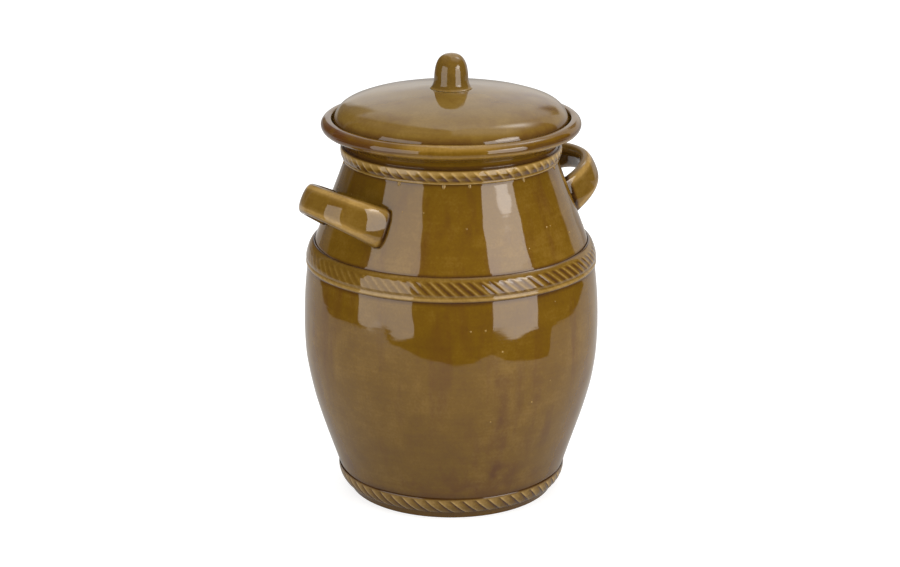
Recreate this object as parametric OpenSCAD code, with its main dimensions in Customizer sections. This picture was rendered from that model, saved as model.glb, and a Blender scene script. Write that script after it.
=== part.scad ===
/* [Crock body] */
// Largest outside diameter, at the belly
belly_d = 240; // [220:1:270]
// Height of the widest point of the belly
belly_z = 138; // [125:1:155]
// Outside diameter of the standing foot
foot_d = 168; // [150:1:174]
// Height of the plain foot under its rope band
foot_h = 6.5; // [4:0.5:9]
// Outside diameter where the wall rises from the foot band
wall_base_d = 185.5; // [178:0.5:190]
// Lean of the lower wall from upright, in degrees
wall_lean = 18; // [12:1:24]
// Outside diameter at the lower edge of the shoulder band
shoulder_low_d = 233; // [226:1:238]
// Height of the lower edge of the shoulder band
shoulder_z = 191.5; // [184:0.5:200]
// Outside diameter at the foot of the conical shoulder
shoulder_d = 221.5; // [216:0.5:226]
// Outside diameter of the neck under its rope band
neck_d = 170.5; // [164:0.5:176]
// Height of the conical shoulder between its two bands
cone_h = 67; // [60:0.5:72]
// How far the neck leans out across its rope band
neck_lean = 1.4; // [0:0.1:3]
// Thickness of the thrown wall
wall = 8; // [6:0.5:10]
// Thickness of the floor
floor_t = 11; // [8:0.5:14]
// Depth of the hollow inside the foot ring
foot_hollow = 3; // [1.5:0.5:5]
// Width of the standing face of the foot ring
foot_face = 12; // [8:0.5:18]

/* [Rim] */
// Height of the throat, from the neck band to the top of the lip
throat_h = 22.5; // [18:0.5:28]
// Thickness of the lip
lip_t = 8.4; // [7:0.1:11]
// Radius of the rolled outside of the lip
lip_roll = 6; // [4:0.5:6.5]
// Depth of the lid seat below the top of the lip
seat_depth = 8.5; // [6:0.5:11]

/* [Rope bands] */
// Height of the foot band
foot_band_h = 13.5; // [10:0.5:17]
// Height of the shoulder band
shoulder_band_h = 14.5; // [11:0.5:18]
// Height of the neck band
neck_band_h = 12; // [9:0.5:14]
// Strands round the foot band
foot_strands = 58; // [40:1:64]
// Strands round the shoulder band
shoulder_strands = 80; // [50:1:84]
// Strands round the neck band
neck_strands = 60; // [40:1:64]
// How far the foot band stands out of the wall
foot_bulge = 2.4; // [1.5:0.1:4]
// How far the shoulder band stands out of the wall
shoulder_bulge = 3.2; // [1.5:0.1:4.5]
// How far the neck band stands out of the wall
neck_bulge = 2.4; // [1.5:0.1:4]
// Depth of the grooves between strands, as a part of the bulge
groove_share = 0.4; // [0.2:0.05:0.7]
// Plain roll above the foot band's strands, as a part of its height
foot_roll = 0.35; // [0:0.05:0.5]
// Width of the glaze groove above a band
cove_h = 3.5; // [2:0.5:5]

/* [Handles] */
// Height of the left handle's roots over the middle of the conical shoulder
left_handle_rise = -2; // [-6:0.5:4]
// Height of the right handle's roots over the middle of the conical shoulder
right_handle_rise = -3; // [-6:0.5:4]
// Distance between the middles of a handle's two roots
handle_span = 73; // [66:1:88]
// Reach of a handle's middle line out from its roots
handle_reach = 39.5; // [36:0.5:44]
// Upward tilt of the left loop, in degrees
left_tilt = 29; // [18:0.5:32]
// Upward tilt of the right loop, in degrees
right_tilt = 28.5; // [18:0.5:32]
// Turn of the right loop round the crock, from straight opposite the left one, in degrees
right_turn = -2; // [-6:0.5:6]
// Width of the strap at the front of the loop
strap_w = 25; // [18:0.5:27]
// Width of the strap at its roots
strap_root_w = 31.5; // [24:0.5:36]
// Thickness of the strap
strap_t = 11; // [10:0.5:14]
// Rounding of the strap's edges
strap_round = 5; // [3:0.5:5]

/* [Lid] */
// Diameter of the lid
lid_d = 186; // [180:1:194]
// Gap between the lid's edge and the rim
lid_gap = 2; // [1:0.1:3]
// Height of the dome above the seat
lid_rise = 34; // [28:0.5:38]
// Radius of the lid's rounded shoulder
lid_shoulder = 17; // [12:0.5:20]
// Thickness of the lid
lid_t = 7.5; // [6:0.5:9]
// Width of the lid's resting edge
lid_edge_w = 9; // [7:0.5:11]
// Height of the locating ring under the lid, below the seat
flange_drop = 12; // [8:0.5:18]
// Thickness of the locating ring
flange_t = 6; // [4.5:0.5:8]
// Gap between the locating ring and the neck
flange_gap = 1.5; // [1:0.1:3]

/* [Knob] */
// Diameter of the knob at its middle
knob_d = 27.5; // [22:0.5:30]
// Diameter of the knob's flared base
knob_base_d = 34; // [28:0.5:38]
// Height of the knob
knob_h = 25.5; // [22:0.5:34]

/* [Weights] */
// Diameter of the pair of half-moon weights
weight_d = 144; // [130:1:148]
// Thickness of a weight
weight_t = 22; // [16:1:28]
// Gap between the two halves
weight_gap = 2; // [1:0.5:4]
// Diameter of the finger hole that the pair shares
finger_d = 34; // [26:1:44]
// Rounding of a weight's edges
weight_round = 4; // [2:0.5:6]

/* [Hidden] */

// Facets of true rounds
$fn = 96;
// Slip joint between a piece of clay and the wall that carries it
slip = 0.05;
// Facets across each strand of a rope band
strand_facets = 4;
// Facets over the bulge of a rope band
bulge_facets = 6;
// Pitches that a strand runs round the crock while it crosses its band
strand_run = 2;
// Fullness of a strand: 1 is a plain sine, smaller is flatter with narrow grooves
foot_fullness = 0.35;
shoulder_fullness = 0.8;
neck_fullness = 0.6;
// Length of the pull that keeps the lower wall straight
low_pull = 45;
// Length of the pull that keeps the belly upright
belly_pull = 44;
// Turn that a handle's roots run into the wall before they are cut to it
root_turn = 30;
// Rings along a handle, and facets on each rounded edge of it
loop_rings = 36;
strap_corner_facets = 4;
// Small roundings of edges and inner corners
edge_round = 1.6;
floor_round = 9;
// Depth of the glaze groove above a band
cove_d = 0.7;
// Height of the groove's deepest point, as a part of its width
cove_low = 0.3;
// Run in of the ledge above the shoulder band, as a part of the groove's width
cove_lean = 0.45;
// Turn of the lip's roll below its widest point, in degrees
lip_turn = 60;
// Least flat left on top of the lip between its two roundings
lip_land = 0.3;
// Pulls that keep the flare upright over the neck band and run it into the lip
flare_rise = 7;
flare_pull = 6;
// Upright side of the lid between its rounded foot and its shoulder
lid_side_h = 1.5;
// Height above the seat of the land that carries the locating ring
land_rise = 10.5;
// Margin of that land on both sides of the ring, and the run of its slope into the dome
land_margin = 2;
land_slope = 5;
// Height over which the knob's flared base runs into its side, and of the corner that it turns about
knob_flare_h = 9;
knob_flare_corner = 2.5;
// How far the knob's side leans in by its nose
knob_taper = 0.6;
// Depth below the top where the knob's side turns into its nose
nose_turn = 6;
// Width of the blunt nose, as a part of the knob's own
nose_share = 0.66;
// Points along a curve, a rounding and a small edge
curve_points = 16;
round_points = 6;
edge_points = 3;

glaze_brown = "#7a5a22";
glaze_gold = "#8c6c33";
glaze_dark = "#6a4a1c";
bare_clay = "#b39a7a";

// Heights at the foot of the cone, the foot of the neck band and the top of the lip
cone_z = shoulder_z + shoulder_band_h + cove_h;
neck_z = cone_z + cone_h;
rim_z = neck_z + neck_band_h + throat_h;

// Radii that the pieces share
belly_r = belly_d / 2;
foot_r = foot_d / 2;
neck_r = neck_d / 2;
neck_bore_r = neck_r - wall;
lid_r = lid_d / 2;
seat_r = lid_r + lid_gap;
lip_r = seat_r + lip_t;
seat_z = rim_z - seat_depth;
flange_r = neck_bore_r - flange_gap;

// Points where the wall turns, as [radius, height]
foot_low = [foot_r + (wall_base_d - foot_d) / 2 * foot_h / (foot_h + foot_band_h), foot_h];
foot_high = [wall_base_d / 2, foot_h + foot_band_h];
shoulder_low = [shoulder_low_d / 2, shoulder_z];
cone_low = [shoulder_d / 2, cone_z];
shoulder_high = [cone_low[0] + cove_h * cove_lean, shoulder_z + shoulder_band_h];
neck_low = [neck_r, neck_z];
neck_high = [neck_r + neck_lean, neck_z + neck_band_h];

// The cone of the shoulder, and its radius at a height
cone_slope = (neck_low[0] - cone_low[0]) / (neck_low[1] - cone_low[1]);
function cone_r(z) = cone_low[0] + cone_slope * (z - cone_low[1]);

// Points on an arc about a centre, from one angle to another
function arc(c, r, from, to, n = round_points) =
    [for (i = [0:n]) c + r * [cos(from + (to - from) * i / n), sin(from + (to - from) * i / n)]];

// Points on a curve that starts at a towards b, and ends at d from c
function cubic(a, b, c, d, n = curve_points) =
    [for (i = [0:n]) let (t = i / n, s = 1 - t)
        s * s * s * a + 3 * s * s * t * b + 3 * s * t * t * c + t * t * t * d];

// Points on a curve that starts at a towards the corner b and ends at c
function quadratic(a, b, c, n = round_points) =
    [for (i = [0:n]) let (t = i / n, s = 1 - t) s * s * a + 2 * s * t * b + t * t * c];

function reversed(p) = [for (i = [len(p) - 1:-1:0]) p[i]];
function unit(v) = v / norm(v);

// A path moved sideways, to its left for a positive distance
function shifted(p, d) =
    [for (i = [0:len(p) - 1])
        let (t = unit(p[min(i + 1, len(p) - 1)] - p[max(i - 1, 0)]))
        p[i] + d * [-t[1], t[0]]];

// The lower wall, straight from the foot and upright at the belly
low_wall = cubic(
    foot_high,
    foot_high + low_pull * [sin(wall_lean), cos(wall_lean)],
    [belly_r, belly_z - belly_pull],
    [belly_r, belly_z]
);

// The upper wall, from the belly to the shoulder band
high_wall = [for (i = [1:curve_points])
    let (t = i / curve_points)
    [belly_r - (belly_r - shoulder_low[0]) * t * t, belly_z + (shoulder_z - belly_z) * t]];

outer_wall = concat(low_wall, high_wall);

// The groove where glaze pools above the shoulder band
shoulder_cove = quadratic(shoulder_high, [cone_low[0] - cove_d, shoulder_high[1] + cove_h * cove_low], cone_low);

// The flare from the neck band up to the underside of the lip
roll_r = min(lip_roll, lip_t - edge_round - lip_land);
lip_centre = [lip_r - roll_r, rim_z - roll_r];
lip_under = lip_centre + roll_r * [cos(lip_turn), -sin(lip_turn)];
flare = cubic(
    neck_high + [-cove_d, cove_h * cove_low],
    neck_high + [-cove_d, flare_rise],
    lip_under - flare_pull * [sin(lip_turn), cos(lip_turn)],
    lip_under,
    round_points
);

lip_outside = arc(lip_centre, roll_r, -lip_turn, 90);
lip_inside = arc([seat_r + edge_round, rim_z - edge_round], edge_round, 90, 180, edge_points);

// The inside of the crock, from the neck down to the floor
inner_low = shifted(outer_wall, wall);
inner_cone_low = cone_low + wall * unit([-1, cone_slope]);
inner_cone_high = [neck_bore_r, neck_z + (wall / cos(atan(cone_slope)) - wall) / cone_slope];
inner_base = inner_low[0];
inner_lean = inner_low[1] - inner_low[0];
floor_corner = [inner_base[0] - inner_lean[0] / inner_lean[1] * (inner_base[1] - floor_t), floor_t];
floor_curve = quadratic(inner_base, floor_corner, floor_corner - [floor_round, 0]);

foot_inner_r = foot_r - foot_face;

body_profile = concat(
    [[0, foot_hollow], [foot_inner_r - foot_hollow, foot_hollow], [foot_inner_r, 0]],
    arc([foot_r - edge_round, edge_round], edge_round, -90, 0, edge_points),
    [foot_low],
    outer_wall,
    shoulder_cove,
    [neck_low, neck_high],
    flare,
    [for (i = [1:len(lip_outside) - 1]) lip_outside[i]],
    lip_inside,
    [[seat_r, seat_z], [neck_bore_r + edge_round, seat_z], [neck_bore_r, seat_z - edge_round]],
    [inner_cone_high, inner_cone_low],
    reversed(inner_low),
    [for (i = [1:len(floor_curve) - 1]) floor_curve[i]],
    [[0, floor_t]]
);

module crock_body() {
    color(glaze_brown)
        rotate_extrude()
            polygon(body_profile);
}

// A twisted rope band on the wall between two points of the profile.
// Each strand climbs from the band's lower edge to its upper edge over a whole number of pitches,
// and its grooves run out where a plain roll crowns the band.
module rope_band(low, high, strands, bulge, fullness, roll = 0) {
    count = strands * strand_facets;
    rows = bulge_facets + 1;
    pitch = 360 / strands;
    across = high - low;
    out = unit([across[1], -across[0]]);
    clear = 1 / cos(pitch / strand_facets / 2);
    function lobe(i) = pow(sin(180 * (i % strand_facets) / strand_facets), fullness);
    function groove(up) = up > 1 - roll ? 0 : groove_share;
    function height(i, turn, up) = bulge * sin(turn) * (1 - groove(up) * (1 - lobe(i)));
    function spot(i, j) =
        let (
            turn = 180 * j / bulge_facets,
            up = (1 - cos(turn)) / 2,
            p = low + across * up + out * (slip + height(i, turn, up)),
            a = pitch * (i / strand_facets - strand_run * j / bulge_facets)
        )
        [p[0] * clear * cos(a), p[0] * clear * sin(a), p[1]];
    function at(i, j) = (i % count) * rows + j;
    points = [for (i = [0:count - 1], j = [0:bulge_facets]) spot(i, j)];
    outside = [for (i = [0:count - 1], j = [0:bulge_facets - 1])
        each [[at(i, j), at(i, j + 1), at(i + 1, j + 1)], [at(i, j), at(i + 1, j + 1), at(i + 1, j)]]];
    run = strand_run * strand_facets;
    seat = [for (i = [0:count - 1])
        [at(i, 0), at(i + 1, 0), at(i + 1 + run, bulge_facets), at(i + run, bulge_facets)]];
    polyhedron(points, concat(outside, seat));
}

module foot_rope() {
    color(glaze_gold)
        rope_band(foot_low, foot_high, foot_strands, foot_bulge, foot_fullness, foot_roll);
}

module shoulder_rope() {
    color(glaze_gold)
        rope_band(shoulder_low, shoulder_high, shoulder_strands, shoulder_bulge, shoulder_fullness);
}

module neck_rope() {
    color(glaze_gold)
        rope_band(neck_low, neck_high, neck_strands, neck_bulge, neck_fullness);
}

// The strap's middle line is half an ellipse, and runs on into the wall at both roots
loop_half = handle_span / 2;
loop_turn = 90 + root_turn;

// Width of the strap at a share of its reach out from its roots, where it spreads onto the wall
function strap_width(share) = strap_w + (strap_root_w - strap_w) * (1 - max(0, share));

// Rounded cross-section of the strap, across its thickness and its width
function strap_section(w) =
    [for (q = [0:3])
        each arc(
            [(strap_t / 2 - strap_round) * (q % 3 == 0 ? 1 : -1), (w / 2 - strap_round) * (q < 2 ? 1 : -1)],
            strap_round, 90 * q, 90 * q + 90, strap_corner_facets
        )];

// The loop before it is cut to the wall, with its root line at the origin and its reach along X
module strap_loop() {
    sides = 4 * (strap_corner_facets + 1);
    points = [for (i = [0:loop_rings])
        let (
            a = loop_turn * (1 - 2 * i / loop_rings),
            middle = [handle_reach * cos(a), loop_half * sin(a)],
            out = unit([cos(a) / handle_reach, sin(a) / loop_half])
        )
        each [for (p = strap_section(strap_width(cos(a))))
            [middle[0] + p[0] * out[0], middle[1] + p[0] * out[1], p[1]]]];
    function at(i, j) = i * sides + j % sides;
    around = [for (i = [0:loop_rings - 1], j = [0:sides - 1])
        each [[at(i, j), at(i + 1, j), at(i + 1, j + 1)], [at(i, j), at(i + 1, j + 1), at(i, j + 1)]]];
    ends = [
        [for (j = [0:sides - 1]) at(0, j)],
        [for (j = [sides - 1:-1:0]) at(loop_rings, j)],
    ];
    polyhedron(points, concat(around, ends));
}

// A strap loop on the +X side, its roots cut to the cone of the shoulder
module handle(rise, tilt) {
    z = cone_z + cone_h / 2 + rise;
    root_x = sqrt(pow(cone_r(z), 2) - loop_half * loop_half);
    difference() {
        translate([root_x, 0, z])
            rotate([0, -tilt, 0])
                strap_loop();
        translate([0, 0, cone_z])
            cylinder(h = cone_h, r1 = cone_low[0] + slip, r2 = neck_r + slip);
    }
}

module left_handle() {
    color(glaze_brown)
        mirror([1, 0, 0])
            handle(left_handle_rise, left_tilt);
}

module right_handle() {
    color(glaze_brown)
        rotate([0, 0, right_turn])
            handle(right_handle_rise, right_tilt);
}

// The dome is one wide arc that runs into the tighter arc of the lid's shoulder
dome_z = seat_z + lid_rise;
lid_side_z = seat_z + edge_round + lid_side_h;
dome_run = lid_r - lid_shoulder;
dome_drop = dome_z - lid_side_z - lid_shoulder;
dome_r = lid_shoulder + (dome_run * dome_run + dome_drop * dome_drop) / (2 * dome_drop);
dome_centre = [0, dome_z - dome_r];
shoulder_centre = [dome_run, lid_side_z];
dome_turn = atan2(shoulder_centre[1] - dome_centre[1], shoulder_centre[0]);

// The flat land under the lid that the locating ring is joined to
land_z = seat_z + land_rise;
land_out_r = flange_r + land_margin;
land_in_r = flange_r - flange_t - land_margin;
under_r = dome_r - lid_t;
under_turn = acos((land_in_r - land_slope) / under_r);

// The flat top that carries the knob
knob_seat_r = knob_base_d / 2;
knob_seat_z = dome_centre[1] + sqrt(dome_r * dome_r - knob_seat_r * knob_seat_r);
knob_seat_turn = acos(knob_seat_r / dome_r);

dome_top = arc(dome_centre, dome_r, dome_turn, knob_seat_turn, curve_points);
lid_profile = concat(
    [[0, dome_z - lid_t]],
    arc(dome_centre, under_r, 90, under_turn, curve_points),
    [[land_in_r, land_z], [land_out_r, land_z], [lid_r - lid_edge_w, seat_z + edge_round]],
    [[lid_r - lid_edge_w + edge_round, seat_z]],
    arc([lid_r - edge_round, seat_z + edge_round], edge_round, -90, 0, edge_points),
    arc(shoulder_centre, lid_shoulder, 0, dome_turn, curve_points),
    [for (i = [1:curve_points]) dome_top[i]],
    [[0, knob_seat_z]]
);

module lid_dome() {
    color(glaze_brown)
        rotate_extrude()
            polygon(lid_profile);
}

// The knob flares at its base and ends in a round nose
knob_r = knob_d / 2;
knob_top = knob_seat_z + knob_h;
knob_waist_z = knob_seat_z + knob_flare_h;
knob_corner = [knob_r, knob_seat_z + knob_flare_corner];
knob_side = quadratic([knob_seat_r, knob_seat_z], knob_corner, [knob_r, knob_waist_z]);
knob_nose = cubic(
    [knob_r, knob_waist_z],
    [knob_r - knob_taper, knob_top - nose_turn],
    [knob_r * nose_share, knob_top],
    [0, knob_top]
);

module lid_knob() {
    color(glaze_gold)
        rotate_extrude()
            polygon(concat([[0, knob_seat_z]], knob_side, [for (i = [1:len(knob_nose) - 1]) knob_nose[i]]));
}

// The locating ring hangs from the land into the neck
flange_low_z = seat_z - flange_drop;
flange_mid_r = flange_r - flange_t / 2;
flange_profile = concat(
    [[flange_r - flange_t, land_z]],
    arc([flange_mid_r, flange_low_z + flange_t / 2], flange_t / 2, 180, 360, 2 * round_points),
    [[flange_r, land_z]]
);

module lid_flange() {
    color(glaze_dark)
        rotate_extrude()
            polygon(flange_profile);
}

// A half-moon weight on the floor, on the +Y side
weight_r = weight_d / 2;
weight_half = [weight_r - weight_round, weight_t - weight_round];
weight_profile = concat(
    [[0, 0]],
    arc([weight_half[0], weight_round], weight_round, -90, 0),
    arc(weight_half, weight_round, 0, 90),
    [[0, weight_t]]
);

module half_weight() {
    translate([0, 0, floor_t])
        difference() {
            rotate_extrude()
                polygon(weight_profile);
            translate([-weight_d, weight_gap / 2 - 2 * weight_d, -weight_t])
                cube([2 * weight_d, 2 * weight_d, 3 * weight_t]);
            translate([0, 0, -weight_t])
                cylinder(h = 3 * weight_t, d = finger_d);
        }
}

module front_weight() {
    color(bare_clay)
        mirror([0, 1, 0])
            half_weight();
}

module rear_weight() {
    color(bare_clay)
        half_weight();
}

crock_body();
foot_rope();
shoulder_rope();
neck_rope();
left_handle();
right_handle();
lid_dome();
lid_knob();
lid_flange();
front_weight();
rear_weight();
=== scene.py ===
"""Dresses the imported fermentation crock: its pottery meshes, their glazes, a studio and the camera."""

import logging
import math
import random
from collections.abc import Callable
from dataclasses import dataclass
from enum import Enum
from functools import cache, partial

import bmesh
import bpy
from mathutils import Matrix, Vector, noise
from mathutils.bvhtree import BVHTree


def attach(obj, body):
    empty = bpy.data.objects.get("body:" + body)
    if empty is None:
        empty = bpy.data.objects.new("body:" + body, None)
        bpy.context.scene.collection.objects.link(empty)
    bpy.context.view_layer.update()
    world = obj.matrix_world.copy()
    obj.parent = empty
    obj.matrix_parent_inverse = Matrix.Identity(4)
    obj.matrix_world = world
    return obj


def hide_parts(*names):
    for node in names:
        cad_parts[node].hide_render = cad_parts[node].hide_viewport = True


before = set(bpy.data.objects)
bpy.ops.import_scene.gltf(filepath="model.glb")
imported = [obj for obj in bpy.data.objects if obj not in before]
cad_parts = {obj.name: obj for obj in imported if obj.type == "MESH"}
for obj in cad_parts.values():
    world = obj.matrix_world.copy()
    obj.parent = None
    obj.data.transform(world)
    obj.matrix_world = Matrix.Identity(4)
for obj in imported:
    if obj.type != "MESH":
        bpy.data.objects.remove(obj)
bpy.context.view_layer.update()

log = logging.getLogger("crock")

# One millimetre in the scene's metres
MM = 0.001

# Points nearer than this are one point
SAME = 1e-6

# Azimuth of the side of the crock that faces the camera, in degrees. Bearings are counted to the right of it
FRONT = -35.8

# The glaze's thickness on a plain wall, on a scale from 0 where it ran thin, and where highlights are painted in as
# thin glaze, to 1 where it pooled
PLAIN = 0.5

UP = Vector((0, 0, 1))

# A run of points in millimetres, each a radius and a height
Path = list[Vector]

# A mesh with the layer that holds the glaze's thickness, with painted highlights worked in as thin glaze
Glazed = tuple[bmesh.types.BMesh, bmesh.types.BMLayerItem]


class Body(Enum):
    """The bodies of the crock that move apart."""

    CROCK = "crock"
    LID = "lid"
    FRONT = "front_half_weight"
    REAR = "rear_half_weight"


class Slot(Enum):
    """The record's material slots."""

    BODY = "body_glaze"
    ROPE = "rope_glaze"
    HANDLE = "handle_glaze"
    LID = "lid_glaze"
    KNOB = "knob_glaze"
    CLAY = "bare_clay"
    WEIGHT = "weight_clay"


def linear(colour: str) -> tuple[float, float, float, float]:
    """Turns an sRGB hex colour into linear light.

    Args:
        colour: Six hex digits after a hash.

    Returns:
        Red, green, blue and an alpha of 1.
    """
    parts = [int(colour[i:i + 2], 16) / 255 for i in (1, 3, 5)]
    red, green, blue = [p / 12.92 if p <= 0.04045 else ((p + 0.055) / 1.055) ** 2.4 for p in parts]
    return red, green, blue, 1.0


def add_node(
    tree: bpy.types.NodeTree, kind: str, inputs: dict[str | int, object] | None = None, out: str | int = 0,
    **settings: object,
) -> bpy.types.NodeSocket | None:
    """Adds a node with its settings and links.

    Args:
        tree: The node tree that takes it.
        kind: The node's type name.
        inputs: Values or output sockets, by the name or number of the input they go to.
        out: The name or number of the output that is wanted.
        settings: Properties of the node.

    Returns:
        The wanted output, or None from a node that has no outputs.
    """
    node = tree.nodes.new(kind)
    for key, value in settings.items():
        setattr(node, key, value)
    for key, value in (inputs or {}).items():
        if isinstance(value, bpy.types.NodeSocket):
            tree.links.new(value, node.inputs[key])
        else:
            node.inputs[key].default_value = value
    return node.outputs[out] if node.outputs else None


def empty_material(name: str) -> bpy.types.Material:
    """Makes a node material with nothing in it."""
    material = bpy.data.materials.new(name)
    material.use_nodes = True
    material.node_tree.nodes.clear()
    return material


def per_mm(size: float) -> float:
    """Gives the noise scale whose features are about a size in millimetres."""
    return 1 / (size * MM)


def clamp(value: float, low: float = 0.0) -> float:
    """Holds a value between its low end and 1."""
    return min(1.0, max(low, value))


def ease(low: float, high: float, value: float) -> float:
    """Rises smoothly from 0 at low to 1 at high."""
    t = clamp((value - low) / (high - low))
    return t * t * (3 - 2 * t)


def bell(value: float) -> float:
    """Gives 1 at 0 and falls away on both sides, to a third at 1."""
    return math.exp(-(value ** 2))


def mix(a: float, b: float, share: float) -> float:
    """Gives the value that lies a share of the way from a to b."""
    return a + (b - a) * share


def wrap(angle: float) -> float:
    """Brings an angle into the range from -180 to 180 degrees."""
    return (angle + 180) % 360 - 180


def bearing_of(point: Vector) -> float:
    """Gives a point's bearing round the crock, in degrees to the right of the front."""
    return wrap(math.degrees(math.atan2(point.x, -point.y)) - FRONT)


def towards(bearing: float) -> Vector:
    """Gives the level direction out of the crock at a bearing in degrees."""
    a = math.radians(FRONT + bearing)
    return Vector((math.sin(a), -math.cos(a), 0))


def turned(angle: float) -> Vector:
    """Gives the flat direction at an angle in degrees."""
    return Vector((math.cos(math.radians(angle)), math.sin(math.radians(angle))))


def at(radius: float, height: float) -> Vector:
    """Gives a point of a profile."""
    return Vector((radius, height))


def arc(centre: Vector, radius: float, start: float, stop: float, count: int) -> Path:
    """Gives count + 1 points on an arc, from a start to a stop angle in degrees."""
    return [centre + radius * turned(mix(start, stop, i / count)) for i in range(count + 1)]


def curve(count: int, *pulls: Vector) -> Path:
    """Gives points on a curve, which is straight where it has two pulls only.

    Args:
        count: The number of steps.
        pulls: The first point, the points that the curve leans to and the last point.

    Returns:
        count + 1 points.
    """
    path: Path = []
    for i in range(count + 1):
        points = list(pulls)
        while len(points) > 1:
            points = [a.lerp(b, i / count) for a, b in zip(points, points[1:])]
        path += points
    return path


def shifted(path: Path, distance: float) -> Path:
    """Moves a path sideways.

    Args:
        path: The path.
        distance: How far it moves to its left.

    Returns:
        The moved path.
    """
    moved = []
    for i, point in enumerate(path):
        along = (path[min(i + 1, len(path) - 1)] - path[max(i - 1, 0)]).normalized()
        moved.append(point + distance * Vector((-along.y, along.x)))
    return moved


def joined(*paths: Path) -> Path:
    """Joins paths end to end and drops points that repeat."""
    points: Path = []
    for path in paths:
        points += [p for p in path if not points or (p - points[-1]).length > SAME]
    return points


@dataclass(frozen=True)
class Glaze:
    """A honey-brown lead-free glaze, dipped over stoneware and fired until it ran.

    It is coloured glass of uneven thickness: pale gold where it ran thin over an edge, and where highlights are
    painted in as thin glaze, honey-brown on a plain wall and dark brown where it pooled, with a mirror gloss that
    waves a little like orange peel.
    """

    name: str
    # Colours from thin to pooled, each at its share of the thickness
    tones: tuple[tuple[float, str], ...]
    # Iron streaks that ran down in the firing, and how much of the surface they stain
    streak: str = "#573618"
    streak_share: float = 0.5
    # How far the thickness wanders in the clouds of the dip, along the throwing lines and in the mottling
    uneven: float = 0.3
    lined: float = 0.12
    mottle: float = 0.2
    # Height of the orange-peel waves and of the throwing lines, in millimetres
    peel: float = 0.012
    lines: float = 0.012
    roughness: float = 0.05
    ior: float = 1.52

    @cache
    def material(self) -> bpy.types.Material:
        """Builds the glaze's node material, once for all the pieces that wear it."""
        material = empty_material(self.name)
        add = partial(add_node, material.node_tree)
        place = add("ShaderNodeTexCoord", out="Object")
        flat = add("ShaderNodeMapping", {"Vector": place, "Scale": (0.04, 0.04, 1.0)})
        tall = add("ShaderNodeMapping", {"Vector": place, "Scale": (1.0, 1.0, 0.13)})
        # Each pattern's space, the size of its features in millimetres, its detail and its roughness
        patterns = {
            # The cloudy unevenness of a dipped glaze
            "cloud": (place, 14, 5.0, 0.6),
            # Wider patches, where the dip left more or less glaze
            "patch": (place, 45, 2.0, 0.5),
            # Throwing lines, which run round the wall
            "throwing": (flat, 2.5, 3.0, 0.5),
            # A fine mottling, where the glaze broke over the grain of the clay
            "mottle": (place, 1.8, 2.0, 0.5),
            # Iron streaks, eight times as long as they are wide
            "streaks": (tall, 16, 4.0, 0.55),
            # The orange peel of a fired glaze, from wave to wave
            "peel": (place, 7, 1.0, 0.5),
        }
        noises = {
            name: add(
                "ShaderNodeTexNoise",
                {"Vector": space, "Scale": per_mm(size), "Detail": detail, "Roughness": rough},
            )
            for name, (space, size, detail, rough) in patterns.items()
        }

        # The thickness wanders to both sides, by each pattern's own share
        depth = add("ShaderNodeAttribute", out="Fac", attribute_name="thickness")
        shares = {"cloud": self.uneven, "patch": self.uneven, "throwing": self.lined, "mottle": self.mottle}
        for name, share in shares.items():
            swing = add("ShaderNodeMath", {0: noises[name], 1: 0.5}, operation="SUBTRACT")
            depth = add("ShaderNodeMath", {0: swing, 1: share, 2: depth}, operation="MULTIPLY_ADD")
        tone = add("ShaderNodeValToRGB", {"Fac": depth})
        stops = tone.node.color_ramp.elements
        while len(stops) < len(self.tones):
            stops.new(1.0)
        for stop, (position, colour) in zip(stops, self.tones):
            stop.position = position
            stop.color = linear(colour)

        stain = add(
            "ShaderNodeMapRange",
            {"Value": noises["streaks"], "From Min": 0.52, "From Max": 0.72, "To Max": self.streak_share},
        )
        # Where iron lay thick it broke into cloudy brown stains
        iron = add("ShaderNodeAttribute", out="Fac", attribute_name="iron")
        cloudy = add(
            "ShaderNodeMapRange", {"Value": noises["cloud"], "From Min": 0.3, "From Max": 0.62, "To Min": 0.25}
        )
        stain = add("ShaderNodeMath", {0: iron, 1: cloudy, 2: stain}, operation="MULTIPLY_ADD", use_clamp=True)
        colour = add("ShaderNodeMix", {0: stain, 6: tone, 7: linear(self.streak)}, out=2, data_type="RGBA")

        waves = add("ShaderNodeBump", {"Height": noises["peel"], "Distance": self.peel * MM})
        normal = add(
            "ShaderNodeBump", {"Height": noises["throwing"], "Distance": self.lines * MM, "Normal": waves}
        )
        shader = add(
            "ShaderNodeBsdfPrincipled",
            {"Base Color": colour, "Roughness": self.roughness, "IOR": self.ior, "Normal": normal},
        )
        add("ShaderNodeOutputMaterial", {"Surface": shader})
        return material


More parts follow.
